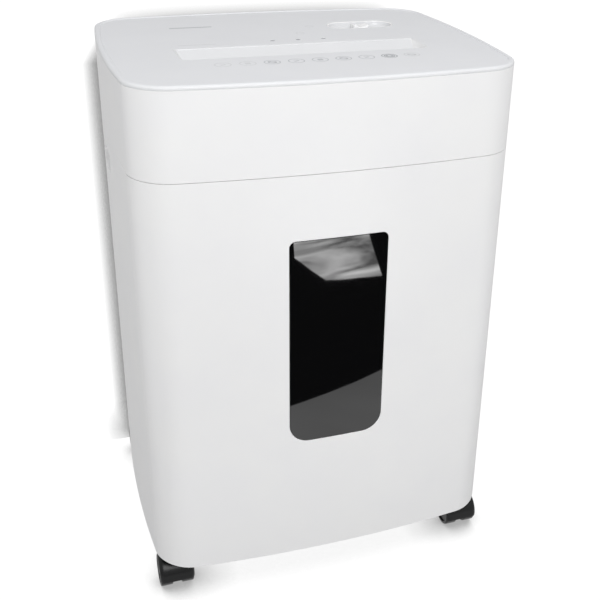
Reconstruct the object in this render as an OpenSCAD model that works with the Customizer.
// Office paper shredder: a cutting head on a cabinet with a pull-out waste bin, on four swivel casters.
// Millimetres. The front faces -Y, the floor is z = 0 and the Z axis runs up the middle of the body.

/* [Body] */
// Width over the bowed sides
body_w = 372; // [352:1:450]
// Depth over the bowed front and back
body_d = 308; // [300:1:380]
// Height of head and cabinet together, without the casters
body_h = 500; // [460:1:640]
// Height of the cutting head
head_h = 83.5; // [83:0.5:110]
// Radius of the upright corners
corner_r = 32; // [26:1:45]
// How far the front and back bow outwards
front_bow = 11; // [6:0.5:14]
// How far the sides bow outwards
side_bow = 9; // [4:0.5:11]
// Wall of the moulded shells
wall = 3; // [2.4:0.1:3.6]
// Height of the groove between head and cabinet
seam_gap = 0.2; // [0.2:0.1:2]

/* [Top cover and feed guide] */
// Height of the top cover's edge
cover_h = 4; // [4:0.2:6]
// Width of the raised rim round the top cover
rim_w = 5; // [3.5:0.5:9]
// How far the panel lies below the rim
panel_drop = 1; // [0.5:0.1:1.5]
// Width of the feed guide's mouth
guide_w = 237; // [226:1:250]
// Front to back size of the feed guide's mouth
guide_d = 43; // [30:1:48]
// Length of the paper slit
slit_w = 226; // [216:1:226]
// Front to back size of the paper slit
slit_t = 8; // [5:0.5:9]
// Distance from the front of the body to the middle of the slit
slit_setback = 108; // [106:1:112]

/* [Controls] */
// Middle of the control recess, right of the centre line
control_x = 90.5; // [80:0.5:105]
// Middle of the control recess, behind the slit
control_behind = 109; // [100:1:115]
// Width of the control recess
recess_w = 69; // [60:1:80]
// Front to back size of the control recess
recess_d = 32; // [26:1:38]
// Width of the slide knob
knob_w = 17; // [12:0.5:20]
// Front to back size of the slide knob
knob_d = 14; // [10:0.5:18]
// Travel of the slide knob to each side
knob_travel = 12; // [8:0.5:13]
// Radius of an indicator lens
lens_r = 2.6; // [2:0.1:3.4]
// Spacing of the indicator lenses
lens_pitch = 26; // [18:1:28]
// Middle lens, right of the centre line
lens_x = 6; // [0:0.5:12]
// Row of lenses, behind the slit
lens_behind = 52; // [48:1:56]

/* [Waste bin] */
// Depth of the front panel where it wraps round the corners
part_setback = 44; // [40:1:52]
// Gap between the front panel and the cabinet's side
part_gap = 0.8; // [0.5:0.1:1.5]
// Wall of the waste bin
bin_wall = 2.2; // [1.8:0.1:3]
// Width of the window
win_w = 95; // [70:1:120]
// Height of the window
win_h = 217; // [150:1:240]
// Height of the window's lower edge above the bottom of the body
win_rise = 137; // [110:1:140]
// Radius of the window's upper corners
win_r_top = 5.5; // [4:0.5:12]
// Radius of the window's lower corners
win_r_low = 20; // [8:1:30]

/* [Casters] */
// Height of a caster below the body
caster_h = 42; // [40:1:50]
// Radius of a caster wheel
wheel_r = 17; // [15:0.5:17.5]
// Width of one caster wheel
wheel_t = 13; // [9:0.5:14]
// Distance from the swivel axis to the axle
caster_trail = 8; // [5:0.5:10]
// Distance from the body's side to the swivel axis
caster_in_x = 24; // [22:1:40]
// Distance from the body's front or back to the swivel axis
caster_in_y = 34; // [30:1:50]

/* [Cutting block] */
// Distance between the two cutter shafts
shaft_pitch = 35; // [35:1:35]
// Radius of a cutting disc
disc_r = 20; // [19:0.25:20.5]
// Thickness of a cutting disc
disc_t = 2.2; // [1.6:0.1:2.2]
// Spacing of the discs along one shaft
disc_pitch = 5; // [5:0.1:6]
// Radius of a cutter shaft between its discs
core_r = 9; // [8:0.25:10]
// Radius of a cutter shaft's journals
journal_r = 6; // [5:0.25:6.5]
// Thickness of the steel frame plates
plate_t = 3; // [2.5:0.1:3.5]

/* [Gears and motor] */
// Gear module of the two slower stages
coarse_m = 1.25; // [1.25:0.05:1.25]
// Gear module of the motor stage
fine_m = 1; // [1:0.05:1]
// Width of the drive gear
drive_gear_w = 10; // [7:0.5:10]
// Width of the other large gears
wheel_gear_w = 8; // [6:0.5:8]
// Radius of the motor housing
motor_r = 29; // [24:0.5:29.5]
// Length of the motor housing
motor_len = 104; // [90:1:110]
// Radius of the motor shaft and of the gear axles
axle_r = 3; // [2.5:0.1:3.2]

/* [Hidden] */
$fn = 48;
far = 1000;
over = 1;
run_fit = 0.05;
gap = 0.3;

base_z = caster_h;
top_z = caster_h + body_h;
seam_z = top_z - head_h;
cabinet_top = seam_z - seam_gap/2;
head_bottom = seam_z + seam_gap/2;
part_y = -body_d/2 + part_setback;

floor_t = 4;
socket_h = 22;
rail_x = 100;
rail_w = 16;
rail_top = base_z + socket_h + 3.7;
flange_w = 14;
flange_t = 3;

pan_t = 3;
pan_top = cabinet_top + pan_t;
boss_r = 5;
boss_x = body_w/2 - 28;
boss_y = body_d/2 - 36;
screw_r = 2;
screw_head_r = 4;
screw_head_h = 2;

cover_bottom = top_z - cover_h;
panel_z = top_z - panel_drop;
slit_y = -body_d/2 + slit_setback;
mouth_front = 10;
guide_h = 17;
guide_wall = 2;
mouth_h = 14;

recess_y = slit_y + control_behind;
recess_h = 6;
bezel_wall = 2;
bezel_bottom = panel_z - recess_h - bezel_wall;
stem_w = 4;
stem_t = 3;
switch_h = 7.5;
lens_y = slit_y + lens_behind;
lens_flange = 1.5;
led_r = 2;
board_t = 1.6;
indicator_z = cover_bottom - 11;

mount_h = 4.6;
plate_z = pan_top + mount_h;
plate_h = 50;
cutter_z = plate_z + 29;
front_y = slit_y - shaft_pitch/2;
rear_y = slit_y + shaft_pitch/2;
throat_z = cutter_z + disc_r + 1;
disc_count = floor((slit_w - 4)/disc_pitch);
cut_w = disc_count*disc_pitch;
plate_x = slit_w/2 + 3;
plate_front = slit_y - 62;
left_plate_back = slit_y + 62;
right_plate_back = slit_y + 150;
foot_front = slit_y - 48;
foot_back = slit_y + 52;
foot_w = 12;
foot_l = 12;
foot_t = 2;
bush_r = 9;
bush_flange_r = 11;
bush_flange_t = 2;
bush_in = 2;
tie_r = 4;
tie_in = 7;
tie_rise = 10;
comb_gap = 0.4;
comb_spine = 9;
comb_h = 24;
chute_wall = 2;
chute_h = 24.4;
shred_d = 76;

// Tooth counts, from the cutters to the motor
sync_teeth = 20;
drive_teeth = 44;
slow_pinion = 12;
slow_teeth = 40;
fast_pinion = 10;
fast_teeth = 48;
motor_pinion = 10;
pressure = 25;
addendum = 0.8;
dedendum = 1.05;
backlash = 0.16;
slow_y = rear_y + coarse_m*(drive_teeth + slow_pinion)/2;
fast_y = slow_y + coarse_m*(slow_teeth + fast_pinion)/2;
motor_y = fast_y + fine_m*(fast_teeth + motor_pinion)/2;
layer_a = plate_x + plate_t + 5;
layer_b = layer_a + drive_gear_w + 2;
layer_c = layer_b + wheel_gear_w + 2;
fast_gear_w = 7;
gear_plate_x = layer_c + fast_gear_w + 5;
gear_plate_t = 2.5;
gear_hub_r = 4.8;
spacer_r = 4;
spacer_pin_r = 2;
spacer_low = 6;
spacer_high = 44;
spacer_ys = [slit_y - 18, slit_y + 142];
gear_plate_ends = [slit_y - 24, slit_y + 148];
motor_wall = 2.5;
motor_end = plate_x - motor_len;
rotor_r = 22;
stator_r = 23;
stator_ends = [motor_end + 20, motor_end + 80];
pilot_r = 8;

bucket_x = body_w/2 - side_bow - wall - 8;
bucket_front = -body_d/2 + 18;
bucket_back = body_d/2 - front_bow - wall - 6;
bucket_r = 24;
bucket_z = rail_top + gap;
bucket_top = cabinet_top - chute_h - 22;
win_z = base_z + win_rise;
win_gap = 0.3;
retainer_t = 2;
retainer_w = 8;
retainer_lap = 4;
front_top = cabinet_top - 0.3;
front_flange = 8;
front_boss_x = 125;
front_boss_zs = [bucket_z + 32, (bucket_z + bucket_top)/2, bucket_top - 32];
pilot_screw_r = 1.6;
pilot_depth = 8;

grip_y = 29;
grip_w = 84;
grip_h = 23;
grip_below = 14;
grip_depth = 19;
grip_wall = 2;
grip_z = cabinet_top - grip_below - grip_h;

inlet_x = 110;
inlet_w = 31;
inlet_h = 24;
inlet_depth = 24;
inlet_z = pan_top + 11.6;
inlet_wall = 3;
inlet_face = body_d/2 - 5.6;
vent_count = 12;
vent_pitch = 9;
vent_w = 3;
vent_h = 30;

pcb_x = [-155, -65];
pcb_y = [slit_y + 76, slit_y + 152];
pcb_z = pan_top + 8.6;
standoff_r = 4;
standoff_in = 5;
stake_r = 1.5;

caster_x = body_w/2 - caster_in_x;
caster_y = body_d/2 - caster_in_y;
stem_r = 4;
socket_r = 8;
seat_r = 9.5;
seat_h = 1;
caster_web = 3.6;
wheel_in = 4.4;
caster_axle_r = 2.5;
hood_gap = 0.6;
hood_t = 1.9;

// ---- Outlines -------------------------------------------------------------------------------

// Arc of n steps about c, both ends included
function arc(c, r, a0, a1, n = 6) =
    [for (i = [0:n]) c + r*[cos(a0 + (a1 - a0)*i/n), sin(a0 + (a1 - a0)*i/n)]];

function unit(v) = v/norm(v);

// Centred rectangle with round corners
function round_rect(w, d, r, n = 6) = concat(
    arc([w/2 - r, d/2 - r], r, 0, 90, n), arc([r - w/2, d/2 - r], r, 90, 180, n),
    arc([r - w/2, r - d/2], r, 180, 270, n), arc([w/2 - r, r - d/2], r, 270, 360, n));

// Pushes a point of the plain rounded rectangle outwards, most at the middle of each side
function bowed(p, hx, hy) = [
    p.x + side_bow*(1 - pow(p.y/hy, 2))*p.x/hx,
    p.y + front_bow*(1 - pow(p.x/hx, 2))*p.y/hy];

// Outline of the body, drawn d inside its outer skin
function outline(d, steps = 10) =
    let(hx = body_w/2 - side_bow - d, hy = body_d/2 - front_bow - d, r = max(corner_r - d, 4),
        centre = [for (q = [0:3]) [(q == 0 || q == 3 ? 1 : -1)*(hx - r), (q < 2 ? 1 : -1)*(hy - r)]])
    [for (q = [0:3])
        let(a = 90*q, b = a + 90, end = centre[q] + r*[cos(b), sin(b)],
            next = centre[(q + 1)%4] + r*[cos(b), sin(b)])
        each [for (p = concat(arc(centre[q], r, a, b, 8),
                              [for (i = [1:steps - 1]) end + (next - end)*i/steps]))
              bowed(p, hx, hy)]];

// Outline of the window in X and Z, drawn d inside the opening
function window_outline(d) =
    let(w = win_w/2 - d, low = win_z + d, high = win_z + win_h - d,
        rt = win_r_top - min(d, win_r_top - 1), rl = win_r_low - d)
    concat(arc([w - rt, high - rt], rt, 0, 90), arc([rt - w, high - rt], rt, 90, 180),
           arc([rl - w, low + rl], rl, 180, 270), arc([w - rl, low + rl], rl, 270, 360));

// Half the angle that a tooth takes up at radius r
function tooth_half(m, teeth, r) =
    let(pitch_r = m*teeth/2, base_r = pitch_r*cos(pressure), a = acos(min(1, base_r/r)),
        involute = tan(a)*180/PI - a, at_pitch = tan(pressure)*180/PI - pressure)
    90/teeth - backlash/2/pitch_r*180/PI + at_pitch - involute;

// Gear outline with the middle of a tooth at the angle turn
function gear_outline(m, teeth, turn) =
    let(pitch_r = m*teeth/2, radii = [pitch_r - dedendum*m, pitch_r, pitch_r + addendum*m])
    [for (k = [0:teeth - 1])
        let(c = turn + 360*k/teeth)
        each concat(
            [for (i = [0:2]) let(a = c - tooth_half(m, teeth, radii[i])) radii[i]*[cos(a), sin(a)]],
            [for (i = [2:-1:0]) let(a = c + tooth_half(m, teeth, radii[i])) radii[i]*[cos(a), sin(a)]])];

// ---- Building blocks ------------------------------------------------------------------------

// Block between two corners
module box(lo, hi) {
    translate(lo) cube(hi - lo);
}

// Slab of the body's outline
module slab(d, z0, z1) {
    translate([0, 0, z0]) linear_extrude(z1 - z0) polygon(outline(d));
}

// Shell between two of the body's outlines
module ring(d0, d1, z0, z1) {
    difference() {
        slab(d0, z0, z1);
        slab(d1, z0 - over, z1 + over);
    }
}

// Keeps what lies behind y, or in front of it
module behind(y) {
    intersection() {
        children();
        box([-far, y, -far], [far, far, far]);
    }
}

module ahead(y) {
    intersection() {
        children();
        box([-far, -far, -far], [far, y, far]);
    }
}

// Turns a shape so that its own Z runs along +X and its X along +Y
module along_x(x, y, z) {
    translate([x, y, z]) rotate([90, 0, 90]) children();
}

// Round bar along X from x0 to x1
module bar_x(r, x0, x1, y, z) {
    along_x(x0, y, z) cylinder(h = x1 - x0, r = r);
}

// Round bar along Y from y0 to y1
module bar_y(r, x, y0, y1, z) {
    translate([x, y1, z]) rotate([90, 0, 0]) cylinder(h = y1 - y0, r = r);
}

// Round bar along Z from z0 to z1
module bar_z(r, x, y, z0, z1) {
    translate([x, y, z0]) cylinder(h = z1 - z0, r = r);
}

// Window-shaped prism through the front wall
module window_prism(d) {
    rotate([90, 0, 0]) linear_extrude(body_d/2 + over) polygon(window_outline(d));
}

// Gear with its axis along X
module gear_x(m, teeth, turn, x0, width, y, z) {
    along_x(x0, y, z) linear_extrude(width) polygon(gear_outline(m, teeth, turn));
}

// Copies on both sides of the centre line
module both_sides() {
    children();
    mirror([1, 0, 0]) children();
}

// Eight-sided cable through a list of points, with a ring at each point square to the way it runs
module cable(points, r, sides = 8) {
    last = len(points) - 1;
    ways = [for (i = [0:last]) unit(unit(points[min(i + 1, last)] - points[min(i, last - 1)])
                                    + unit(points[max(i, 1)] - points[max(i - 1, 0)]))];
    rings = [for (i = [0:last])
        let(s = unit(cross(ways[i], [1, -1, 1])), t = cross(s, ways[i]))
        each [for (k = [0:sides - 1]) points[i] + r*(s*cos(360*k/sides) + t*sin(360*k/sides))]];
    walls = [for (i = [0:last - 1], k = [0:sides - 1])
        let(next = (k + 1)%sides)
        [i*sides + k, i*sides + next, (i + 1)*sides + next, (i + 1)*sides + k]];
    ends = [[for (k = [sides - 1:-1:0]) k], [for (k = [0:sides - 1]) last*sides + k]];
    polyhedron(points = rings, faces = concat(walls, ends));
}

// ---- Cabinet --------------------------------------------------------------------------------

head_screw_spots = [for (s = [-1, 1]) each [
    [s*(body_w/2 - 12), -body_d/2 + 94], [s*(body_w/2 - 12), body_d/2 - 94],
    [s*100, body_d/2 - 13.5]]];

module grip_hole(d, deep) {
    x1 = -body_w/2 + deep;
    box([-far, grip_y - grip_w/2 + d, grip_z + d], [x1, grip_y + grip_w/2 - d, grip_z + grip_h - d]);
}

module cabinet_shell() {
    color("white") difference() {
        union() {
            behind(part_y) ring(0, wall, base_z, cabinet_top);
            behind(part_y) ring(wall, wall + flange_w, cabinet_top - flange_t, cabinet_top);
            ahead(part_y + 12) behind(part_y) ring(wall, 2*wall, base_z + floor_t + over, cabinet_top);
        }
        both_sides() grip_hole(0, grip_depth);
        for (p = head_screw_spots) bar_z(screw_r, p.x, p.y, cabinet_top - far/10, cabinet_top + over);
    }
}

module cabinet_floor() {
    color("gainsboro") difference() {
        union() {
            behind(part_y) slab(wall, base_z, base_z + floor_t);
            ahead(part_y) slab(wall + 1, base_z, base_z + floor_t);
            for (sx = [-1, 1], sy = [-1, 1])
                bar_z(socket_r, sx*caster_x, sy*caster_y, base_z, base_z + socket_h);
        }
        for (sx = [-1, 1], sy = [-1, 1])
            bar_z(stem_r + run_fit, sx*caster_x, sy*caster_y, base_z - over, base_z + socket_h - 2);
        for (sx = [-1, 1], sy = [-1, 1])
            bar_z(seat_r, sx*caster_x, sy*caster_y, base_z - over, base_z + seat_h);
    }
}

module floor_rails() {
    color("dimgray") both_sides()
        box([rail_x - rail_w/2, -body_d/2 + 16, base_z + floor_t],
            [rail_x + rail_w/2, bucket_back, rail_top]);
}

module grip_cups() {
    color("white") both_sides() difference() {
        intersection() {
            slab(0, grip_z, grip_z + grip_h);
            grip_hole(0, grip_depth);
        }
        grip_hole(grip_wall, grip_depth - grip_wall);
    }
}

// ---- Waste bin ------------------------------------------------------------------------------

module bin_bucket() {
    depth = bucket_back - bucket_front;
    middle = (bucket_back + bucket_front)/2;
    color("lightgray") difference() {
        translate([0, middle, bucket_z])
            linear_extrude(bucket_top - bucket_z) polygon(round_rect(2*bucket_x, depth, bucket_r));
        translate([0, middle, bucket_z + bin_wall])
            linear_extrude(far) polygon(round_rect(2*(bucket_x - bin_wall), depth - 2*bin_wall,
                                                   bucket_r - bin_wall));
        window_prism(-2);
        for (s = [-1, 1], z = front_boss_zs)
            bar_y(pilot_screw_r, s*front_boss_x, bucket_front - over, bucket_front + bin_wall + over, z);
    }
}

module bin_front() {
    color("white") difference() {
        union() {
            ahead(part_y - part_gap) ring(0, wall, base_z, front_top);
            ahead(part_y - part_gap) ring(wall, wall + front_flange, front_top - wall, front_top);
            intersection() {
                slab(wall/2, base_z, front_top);
                for (s = [-1, 1], z = front_boss_zs)
                    bar_y(boss_r, s*front_boss_x, -body_d/2, bucket_front, z);
            }
        }
        window_prism(0);
        for (s = [-1, 1], z = front_boss_zs)
            bar_y(pilot_screw_r, s*front_boss_x, bucket_front - pilot_depth, bucket_front + over, z);
    }
}

module window() {
    color([0.06, 0.06, 0.07]) intersection() {
        ring(0, wall, win_z, win_z + win_h);
        window_prism(win_gap);
    }
}

module window_retainer() {
    color("dimgray") intersection() {
        ring(wall + 0.02, wall + retainer_t, base_z, front_top - 2*wall);
        difference() {
            window_prism(-retainer_w);
            window_prism(retainer_lap);
        }
    }
}

module bin_screws() {
    inner = bucket_front + bin_wall;
    color("silver") for (s = [-1, 1], z = front_boss_zs) {
        bar_y(pilot_screw_r, s*front_boss_x, bucket_front - pilot_depth, inner, z);
        bar_y(screw_head_r, s*front_boss_x, inner, inner + screw_head_h, z);
    }
}

module bin_magnet() {
    y = -body_d/2 + wall + 2;
    color("gray") box([-8, y, front_top - wall - 6], [8, y + 6, front_top - wall]);
}

// ---- Head shells ----------------------------------------------------------------------------

module head_base() {
    color("white") difference() {
        union() {
            slab(wall, cabinet_top, pan_top);
            for (p = head_screw_spots) bar_z(boss_r, p.x, p.y, pan_top, pan_top + 6);
            for (x = [pcb_x[0] + standoff_in, pcb_x[1] - standoff_in],
                 y = [pcb_y[0] + standoff_in, pcb_y[1] - standoff_in]) {
                bar_z(standoff_r, x, y, pan_top, pcb_z);
                bar_z(stake_r, x, y, pcb_z, pcb_z + 3);
            }
        }
        box([-slit_w/2, slit_y - shred_d/2, cabinet_top - over],
            [slit_w/2, slit_y + shred_d/2, pan_top + over]);
        for (p = head_screw_spots) bar_z(screw_r, p.x, p.y, cabinet_top - over, pan_top + 7);
        for (s = [-1, 1], y = [foot_front, foot_back])
            bar_z(screw_r, s*(plate_x - foot_w/2), y, cabinet_top - over, pan_top + over);
    }
}

module head_housing() {
    color("white") difference() {
        union() {
            ring(0, wall, head_bottom, cover_bottom);
            for (sx = [-1, 1], sy = [-1, 1]) {
                bar_z(boss_r, sx*boss_x, sy*boss_y, pan_top, cover_bottom);
                intersection() {
                    slab(wall/2, pan_top, cover_bottom);
                    translate([sx*boss_x, sy*boss_y, pan_top]) rotate([0, 0, atan2(sy, sx)])
                        translate([0, -1, 0]) cube([40, 2, cover_bottom - pan_top]);
                }
            }
        }
        box([inlet_x - inlet_w/2, 0, inlet_z], [inlet_x + inlet_w/2, far, inlet_z + inlet_h]);
        for (i = [0:vent_count - 1])
            translate([inlet_x - 60 - i*vent_pitch, body_d/4, inlet_z])
                cube([vent_w, far, vent_h]);
    }
}

module top_cover() {
    lug_x = lens_pitch + 18;
    color("white") difference() {
        union() {
            slab(0, cover_bottom, top_z);
            ring(wall + 0.2, wall + 2.2, cover_bottom - 6, cover_bottom);
            for (s = [-1, 1]) bar_z(3, lens_x + s*lug_x, lens_y, indicator_z + board_t, cover_bottom);
        }
        slab(rim_w, panel_z, top_z + over);
        guide_block(cover_bottom - over, top_z + over);
        translate([control_x, recess_y, cover_bottom - over])
            linear_extrude(far) polygon(bezel_outline(0));
        for (i = [-1:1]) bar_z(lens_r, lens_x + i*lens_pitch, lens_y, cover_bottom - over, top_z);
        for (sx = [-1, 1], sy = [-1, 1]) translate([sx*boss_x, sy*boss_y, cover_bottom - far])
            cylinder(h = far, r = boss_r + 1);
        both_sides() for (sy = [-1, 1]) mirror([0, sy < 0 ? 1 : 0, 0])
            translate([boss_x, boss_y, cover_bottom - 6 - over]) rotate([0, 0, 45])
                translate([0, -1.5, 0]) cube([40, 3, 6 + over]);
    }
}

module guide_block(z0, z1) {
    box([-guide_w/2 - guide_wall, slit_y - mouth_front - guide_wall, z0],
        [guide_w/2 + guide_wall, slit_y - mouth_front + guide_d + guide_wall, z1]);
}

module feed_guide() {
    neck = slit_t/2 + guide_wall;
    color([0.93, 0.94, 0.96]) difference() {
        union() {
            guide_block(panel_z - guide_h, panel_z);
            box([-slit_w/2 - guide_wall, slit_y - neck, throat_z],
                [slit_w/2 + guide_wall, slit_y + neck, panel_z - guide_h]);
        }
        hull() {
            box([-guide_w/2, slit_y - mouth_front, panel_z],
                [guide_w/2, slit_y - mouth_front + guide_d, panel_z + over]);
            box([-slit_w/2, slit_y - slit_t/2, panel_z - mouth_h],
                [slit_w/2, slit_y + slit_t/2, panel_z - mouth_h + 0.1]);
        }
        box([-slit_w/2, slit_y - slit_t/2, throat_z - over], [slit_w/2, slit_y + slit_t/2, panel_z]);
    }
}

function bezel_outline(d) = let(w = recess_w + 2*bezel_wall - 2*d, h = recess_d + 2*bezel_wall - 2*d)
    round_rect(w, h, h/2 - 0.01, 10);

module control_bezel() {
    slot = 2*knob_travel + stem_w + 2*gap;
    color("whitesmoke") translate([control_x, recess_y, 0]) difference() {
        translate([0, 0, bezel_bottom]) linear_extrude(panel_z - bezel_bottom) polygon(bezel_outline(0));
        translate([0, 0, bezel_bottom + bezel_wall]) linear_extrude(far) polygon(bezel_outline(bezel_wall));
        box([-slot/2, -stem_t/2 - gap, bezel_bottom - over],
            [slot/2, stem_t/2 + gap, bezel_bottom + bezel_wall + over]);
    }
}

module switch_knob() {
    low = bezel_bottom + bezel_wall + gap;
    high = top_z - gap;
    scoop_r = knob_w;
    color("white") translate([control_x, recess_y, 0]) {
        difference() {
            translate([0, 0, low]) linear_extrude(high - low) polygon(round_rect(knob_w, knob_d, 2.5));
            bar_y(scoop_r, 0, -knob_d, knob_d, high + scoop_r - 1.8);
        }
        box([-stem_w/2, -stem_t/2, bezel_bottom - switch_h + 3], [stem_w/2, stem_t/2, low]);
    }
}

module mode_switch() {
    slot = 2*knob_travel + stem_w + 2*gap;
    color([0.13, 0.13, 0.14]) translate([control_x, recess_y, 0]) difference() {
        box([-slot/2 - 5, -9, bezel_bottom - switch_h], [slot/2 + 5, 9, bezel_bottom]);
        box([-slot/2, -stem_t/2 - gap, bezel_bottom - switch_h + 2],
            [slot/2, stem_t/2 + gap, bezel_bottom + over]);
    }
}

module indicator_lenses() {
    color([0.15, 0.17, 0.2]) for (i = [-1:1]) {
        x = lens_x + i*lens_pitch;
        bar_z(lens_r, x, lens_y, cover_bottom, panel_z);
        bar_z(lens_r + 1.4, x, lens_y, cover_bottom - lens_flange, cover_bottom);
    }
}

module indicator_board() {
    half = lens_pitch + 24;
    color("darkgreen") {
        box([lens_x - half, lens_y - 13, indicator_z], [lens_x + half, lens_y + 14, indicator_z + board_t]);
        for (i = [-1:1])
            bar_z(led_r, lens_x + i*lens_pitch, lens_y, indicator_z + board_t, cover_bottom - lens_flange);
    }
}

// ---- Electronics ----------------------------------------------------------------------------

module control_board() {
    color("darkgreen") difference() {
        box([pcb_x[0], pcb_y[0], pcb_z], [pcb_x[1], pcb_y[1], pcb_z + board_t]);
        for (x = [pcb_x[0] + standoff_in, pcb_x[1] - standoff_in],
             y = [pcb_y[0] + standoff_in, pcb_y[1] - standoff_in])
            bar_z(stake_r, x, y, pcb_z - over, pcb_z + board_t + over);
    }
}

module board_transformer() {
    z = pcb_z + board_t;
    x = pcb_x[0] + 12;
    y = pcb_y[0] + 12;
    color("dimgray") difference() {
        union() {
            box([x, y + 6, z], [x + 40, y + 24, z + 30]);
            box([x + 7, y, z + 5], [x + 33, y + 30, z + 25]);
        }
        box([x + 7, y + 6 - over, z - over], [x + 33, y + 24 + over, z + 5]);
    }
}

module board_components() {
    z = pcb_z + board_t;
    color([0.2, 0.25, 0.35]) {
        bar_z(9, pcb_x[1] - 26, pcb_y[0] + 24, z, z + 28);
        bar_z(5, pcb_x[1] - 10, pcb_y[0] + 22, z, z + 14);
        box([pcb_x[1] - 48, pcb_y[1] - 30, z], [pcb_x[1] - 20, pcb_y[1] - 16, z + 16]);
    }
}

module paper_sensor() {
    neck = slit_t/2 + guide_wall;
    color([0.13, 0.13, 0.14]) for (s = [-1, 1])
        translate([0, slit_y, 0]) scale([1, s, 1])
            box([-6, neck, throat_z + 1], [6, neck + 8, panel_z - guide_h]);
}

module bin_sensor() {
    y = -body_d/2 + wall + 11;
    color([0.13, 0.13, 0.14]) box([-10, y, cabinet_top - 8], [10, y + 8, cabinet_top]);
}

module power_inlet() {
    x0 = inlet_x - inlet_w/2;
    x1 = inlet_x + inlet_w/2;
    color([0.13, 0.13, 0.14]) difference() {
        box([x0, inlet_face - inlet_depth, inlet_z], [x1, inlet_face, inlet_z + inlet_h]);
        box([x0 + inlet_wall, inlet_face - inlet_depth + inlet_wall, inlet_z + inlet_wall],
            [x1 - inlet_wall, far, inlet_z + inlet_h - inlet_wall]);
    }
    color("gold") for (i = [-1:1])
        translate([inlet_x + 7*i, inlet_face - inlet_depth + inlet_wall,
                   inlet_z + inlet_h/2 + (i == 0 ? 3 : -2)])
            translate([-1, 0, -2]) cube([2, 14, 4]);
}

module wiring() {
    board_top = pcb_z + board_t;
    inlet_back = inlet_face - inlet_depth;
    behind_motor = motor_y + motor_r + 14;
    color([0.1, 0.1, 0.1]) {
        cable([[inlet_x, inlet_back, inlet_z + 8], [inlet_x, inlet_back - 8, inlet_z + 8],
               [inlet_x - 14, behind_motor, inlet_z + 2], [pcb_x[1] - 10, behind_motor, inlet_z + 2],
               [pcb_x[1] - 20, pcb_y[1] - 8, board_top + 8], [pcb_x[1] - 20, pcb_y[1] - 8, board_top]], 2);
        cable([[pcb_x[1] - 8, motor_y, board_top], [pcb_x[1] - 8, motor_y, cutter_z - 14],
               [motor_end, motor_y, cutter_z - 14]], 2);
    }
}

// ---- Cutting block --------------------------------------------------------------------------

module shred_chute() {
    color([0.16, 0.16, 0.17]) difference() {
        union() {
            box([-slit_w/2 - chute_wall, slit_y - shred_d/2 - chute_wall, cabinet_top - chute_h],
                [slit_w/2 + chute_wall, slit_y + shred_d/2 + chute_wall, cabinet_top]);
            box([-slit_w/2 - 8, slit_y - shred_d/2 - 8, cabinet_top - 2.5],
                [slit_w/2 + 8, slit_y + shred_d/2 + 8, cabinet_top]);
        }
        box([-slit_w/2, slit_y - shred_d/2, 0], [slit_w/2, slit_y + shred_d/2, cabinet_top + over]);
    }
}

// Steel end plate on the right; side = -1 gives the left one
module frame_plate(side, back) {
    x0 = side > 0 ? plate_x : -plate_x - plate_t;
    color("lightsteelblue") difference() {
        union() {
            box([x0, plate_front, plate_z], [x0 + plate_t, back, plate_z + plate_h]);
            for (y = [foot_front, foot_back])
                translate([side > 0 ? plate_x - foot_w : -plate_x, y - foot_l/2, plate_z])
                    cube([foot_w, foot_l, foot_t]);
        }
        for (y = [front_y, rear_y]) bar_x(bush_r, x0 - over, x0 + plate_t + over, y, cutter_z);
        for (y = [foot_front, foot_back])
            bar_z(screw_r, side*(plate_x - foot_w/2), y, plate_z - over, plate_z + foot_t + over);
        if (side > 0) {
            for (y = [slow_y, fast_y]) bar_x(axle_r, x0 - over, x0 + plate_t + over, y, cutter_z);
            bar_x(pilot_r, x0 - over, x0 + plate_t + over, motor_y, cutter_z);
            for (y = spacer_ys, z = [spacer_low, spacer_high])
                bar_x(spacer_pin_r, x0 - over, x0 + plate_t + over, y, plate_z + z);
        }
    }
}

module frame_plate_left() frame_plate(-1, left_plate_back);
module frame_plate_right() frame_plate(1, right_plate_back);

module tie_bars() {
    color("silver") for (y = [plate_front + tie_in, left_plate_back - tie_in],
                         z = [plate_z + tie_rise, plate_z + plate_h - 4])
        bar_x(tie_r, -plate_x, plate_x, y, z);
}

// Spine with a finger in each gap between the discs of one shaft; side = -1 is in front
module comb(side, shaft_y, phase) {
    root = disc_r + 1.5;
    color("darkgray") translate([0, shaft_y, 0]) scale([1, side, 1]) union() {
        box([-plate_x, root, cutter_z - comb_h/2], [plate_x, root + comb_spine, cutter_z + comb_h/2]);
        for (i = [0:disc_count - 1]) {
            x = -cut_w/2 + disc_pitch*(i + phase);
            difference() {
                box([x - disc_t/2, -4, cutter_z - comb_h/2], [x + disc_t/2, root, cutter_z + comb_h/2]);
                bar_x(core_r + comb_gap, x - disc_t, x + disc_t, 0, cutter_z);
                box([x - disc_t, -5, cutter_z - core_r], [x + disc_t, 0, cutter_z + core_r]);
            }
        }
    }
}

module comb_front() comb(-1, front_y, 0.75);
module comb_rear() comb(1, rear_y, 0.25);

module cutter_shaft(y, right_end) {
    color("silver") union() {
        bar_x(core_r, -plate_x + bush_in + gap, plate_x - bush_in - gap, y, cutter_z);
        bar_x(journal_r, -layer_a - 9, right_end, y, cutter_z);
    }
}

module cutter_shaft_front() cutter_shaft(front_y, plate_x + plate_t + 3);
module cutter_shaft_rear() cutter_shaft(rear_y, layer_a + drive_gear_w + 1);

module cutter_discs(y, phase) {
    color("gray") for (i = [0:disc_count - 1]) {
        x = -cut_w/2 + disc_pitch*(i + phase);
        difference() {
            bar_x(disc_r, x - disc_t/2, x + disc_t/2, y, cutter_z);
            bar_x(core_r, x - disc_t, x + disc_t, y, cutter_z);
        }
    }
}

module cutter_discs_front() cutter_discs(front_y, 0.25);
module cutter_discs_rear() cutter_discs(rear_y, 0.75);

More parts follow.
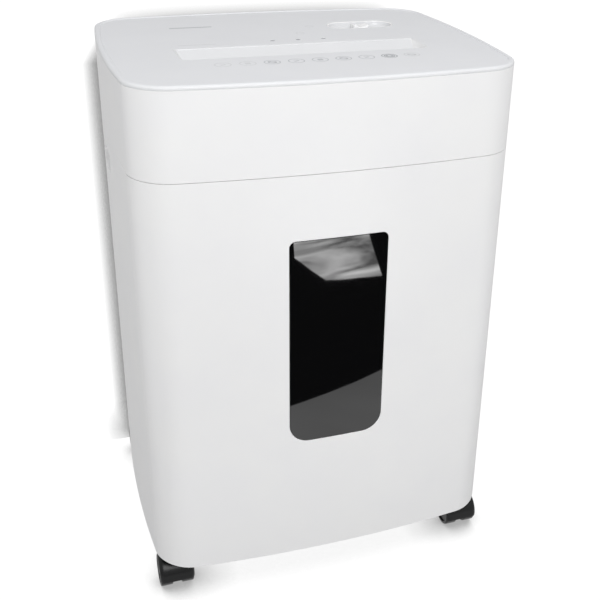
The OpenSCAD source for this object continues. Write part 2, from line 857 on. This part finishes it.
module shaft_bushes() {
    color("goldenrod") both_sides() for (y = [front_y, rear_y]) difference() {
        union() {
            bar_x(bush_r, plate_x - bush_in, plate_x + plate_t, y, cutter_z);
            bar_x(bush_flange_r, plate_x + plate_t, plate_x + plate_t + bush_flange_t, y, cutter_z);
        }
        bar_x(journal_r + run_fit, plate_x - far, plate_x + far, y, cutter_z);
    }
}

module isolation_mounts() {
    color([0.1, 0.1, 0.1]) both_sides() for (y = [foot_front, foot_back]) difference() {
        bar_z(foot_w/2, plate_x - foot_w/2, y, pan_top, plate_z);
        bar_z(screw_r, plate_x - foot_w/2, y, pan_top - over, plate_z + over);
    }
}

module frame_screws() {
    color("silver") both_sides() for (y = [foot_front, foot_back]) {
        bar_z(screw_r, plate_x - foot_w/2, y, cabinet_top, plate_z + foot_t);
        bar_z(screw_head_r, plate_x - foot_w/2, y, plate_z + foot_t, plate_z + foot_t + screw_head_h);
    }
}

module head_screws() {
    low = cabinet_top - flange_t;
    color("silver") for (p = head_screw_spots) {
        bar_z(screw_r, p.x, p.y, low, pan_top + 6);
        bar_z(screw_head_r, p.x, p.y, low - screw_head_h, low);
    }
}

// ---- Gear train and motor -------------------------------------------------------------------

module sync_gear(y, turn) {
    color("silver") difference() {
        gear_x(shaft_pitch/sync_teeth, sync_teeth, turn, -layer_a - 7, 8, y, cutter_z);
        bar_x(journal_r, -far, far, y, cutter_z);
    }
}

module sync_gear_front() sync_gear(front_y, 0);
module sync_gear_rear() sync_gear(rear_y, 180/sync_teeth);

module drive_gear() {
    color("silver") difference() {
        gear_x(coarse_m, drive_teeth, 0, layer_a, drive_gear_w, rear_y, cutter_z);
        bar_x(journal_r, layer_a - over, far, rear_y, cutter_z);
    }
}

module compound_gear_slow() {
    color("ivory") difference() {
        union() {
            gear_x(coarse_m, slow_pinion, 180/slow_pinion, layer_a, layer_b - layer_a, slow_y, cutter_z);
            gear_x(coarse_m, slow_teeth, 0, layer_b, wheel_gear_w, slow_y, cutter_z);
        }
        bar_x(axle_r + run_fit, layer_a - over, far, slow_y, cutter_z);
    }
}

module compound_gear_fast() {
    color("ivory") difference() {
        union() {
            gear_x(coarse_m, fast_pinion, 180/fast_pinion, layer_b, wheel_gear_w, fast_y, cutter_z);
            bar_x(gear_hub_r, layer_b + wheel_gear_w, layer_c, fast_y, cutter_z);
            gear_x(fine_m, fast_teeth, 0, layer_c, fast_gear_w, fast_y, cutter_z);
        }
        bar_x(axle_r + run_fit, layer_b - over, far, fast_y, cutter_z);
    }
}

module gear_axles() {
    color("silver") for (y = [slow_y, fast_y])
        bar_x(axle_r, plate_x, gear_plate_x + gear_plate_t, y, cutter_z);
}

module gear_plate() {
    color("lightsteelblue") difference() {
        box([gear_plate_x, gear_plate_ends[0], plate_z],
            [gear_plate_x + gear_plate_t, gear_plate_ends[1], plate_z + plate_h]);
        for (y = [slow_y, fast_y])
            bar_x(axle_r, gear_plate_x - over, gear_plate_x + gear_plate_t + over, y, cutter_z);
        for (y = spacer_ys, z = [spacer_low, spacer_high])
            bar_x(spacer_pin_r, gear_plate_x - over, gear_plate_x + gear_plate_t + over, y, plate_z + z);
    }
}

module gear_spacers() {
    color("silver") for (y = spacer_ys, z = [spacer_low, spacer_high]) {
        bar_x(spacer_r, plate_x + plate_t, gear_plate_x, y, plate_z + z);
        bar_x(spacer_pin_r, plate_x, gear_plate_x + gear_plate_t, y, plate_z + z);
    }
}

module motor_housing() {
    color("slategray") difference() {
        union() {
            bar_x(motor_r, motor_end, plate_x, motor_y, cutter_z);
            box([motor_end + 4, motor_y - 16, pan_top],
                [motor_end + 16, motor_y + 16, cutter_z - motor_r + 8]);
        }
        bar_x(motor_r - motor_wall, motor_end + 4, stator_ends[0], motor_y, cutter_z);
        bar_x(stator_r, stator_ends[0] - over, stator_ends[1] + over, motor_y, cutter_z);
        bar_x(motor_r - motor_wall, stator_ends[1], plate_x - 3, motor_y, cutter_z);
        bar_x(axle_r + run_fit, motor_end - over, far, motor_y, cutter_z);
    }
}

module motor_rotor() {
    color("silver") union() {
        bar_x(axle_r, motor_end - 2, layer_c, motor_y, cutter_z);
        bar_x(rotor_r, stator_ends[0], stator_ends[1], motor_y, cutter_z);
        bar_x(rotor_r/2, stator_ends[1], stator_ends[1] + 12, motor_y, cutter_z);
        gear_x(fine_m, motor_pinion, 180/motor_pinion, layer_c, fast_gear_w + 1, motor_y, cutter_z);
    }
}

module motor_fan() {
    hub_r = 7;
    x0 = motor_end + 6;
    color([0.13, 0.13, 0.14]) difference() {
        union() {
            bar_x(hub_r, x0, x0 + 11, motor_y, cutter_z);
            bar_x(motor_r - motor_wall - 2, x0, x0 + 2, motor_y, cutter_z);
            for (a = [0:36:324]) translate([x0, motor_y, cutter_z]) rotate([a, 0, 0])
                translate([0, hub_r - 1, -0.75]) cube([10, motor_r - motor_wall - 2 - hub_r, 1.5]);
        }
        bar_x(axle_r, x0 - over, x0 + far, motor_y, cutter_z);
    }
}

// ---- Casters --------------------------------------------------------------------------------

module caster_hood(sx, sy) {
    outer = wheel_r + hood_gap + hood_t;
    half = wheel_in + wheel_t + hood_gap;
    top = wheel_r + outer;
    color([0.11, 0.12, 0.12]) translate([sx*caster_x, sy*caster_y, 0]) {
        difference() {
            union() {
                bar_x(outer, -half, half, caster_trail, wheel_r);
                box([-caster_web, -6, top - 8], [caster_web, 8, top + 1]);
            }
            difference() {
                bar_x(wheel_r + hood_gap, -half - over, half + over, caster_trail, wheel_r);
                box([-caster_web, -far, -far], [caster_web, far, far]);
            }
            box([-far, caster_trail - far/2, -far], [far, far, wheel_r - 3]);
            box([-far, caster_trail + wheel_r*0.55, -far], [far, far, wheel_r + 6]);
            bar_x(caster_axle_r + run_fit, -far, far, caster_trail, wheel_r);
        }
        bar_z(socket_r - 1, 0, 0, top - 1, base_z - 0.5);
        bar_z(stem_r, 0, 0, top - 1, base_z + socket_h - 3);
        difference() {
            bar_x(7, -caster_web, caster_web, caster_trail, wheel_r);
            bar_x(caster_axle_r + run_fit, -far, far, caster_trail, wheel_r);
        }
    }
}

module caster_wheels(sx, sy) {
    color([0.13, 0.14, 0.14]) translate([sx*caster_x, sy*caster_y, 0]) {
        for (s = [-1, 1]) scale([s, 1, 1]) difference() {
            bar_x(wheel_r, wheel_in, wheel_in + wheel_t, caster_trail, wheel_r);
            bar_x(wheel_r - 3.5, wheel_in + wheel_t - 1.5, far, caster_trail, wheel_r);
        }
        bar_x(caster_axle_r, -wheel_in - 1, wheel_in + 1, caster_trail, wheel_r);
    }
}

module caster_hood_fl() caster_hood(-1, -1);
module caster_hood_fr() caster_hood(1, -1);
module caster_hood_bl() caster_hood(-1, 1);
module caster_hood_br() caster_hood(1, 1);
module caster_wheels_fl() caster_wheels(-1, -1);
module caster_wheels_fr() caster_wheels(1, -1);
module caster_wheels_bl() caster_wheels(-1, 1);
module caster_wheels_br() caster_wheels(1, 1);

// ---- Nodes ----------------------------------------------------------------------------------

cabinet_shell();
cabinet_floor();
floor_rails();
grip_cups();
head_base();
head_housing();
top_cover();
feed_guide();
control_bezel();
indicator_lenses();
indicator_board();
mode_switch();
control_board();
board_transformer();
board_components();
paper_sensor();
bin_sensor();
power_inlet();
shred_chute();
frame_plate_left();
frame_plate_right();
tie_bars();
comb_front();
comb_rear();
shaft_bushes();
isolation_mounts();
gear_axles();
gear_plate();
gear_spacers();
motor_housing();
wiring();
frame_screws();
head_screws();
bin_bucket();
bin_front();
window();
window_retainer();
bin_screws();
bin_magnet();
cutter_shaft_front();
cutter_discs_front();
sync_gear_front();
cutter_shaft_rear();
cutter_discs_rear();
sync_gear_rear();
drive_gear();
compound_gear_slow();
compound_gear_fast();
motor_rotor();
motor_fan();
switch_knob();
caster_hood_fl();
caster_hood_fr();
caster_hood_bl();
caster_hood_br();
caster_wheels_fl();
caster_wheels_fr();
caster_wheels_bl();
caster_wheels_br();
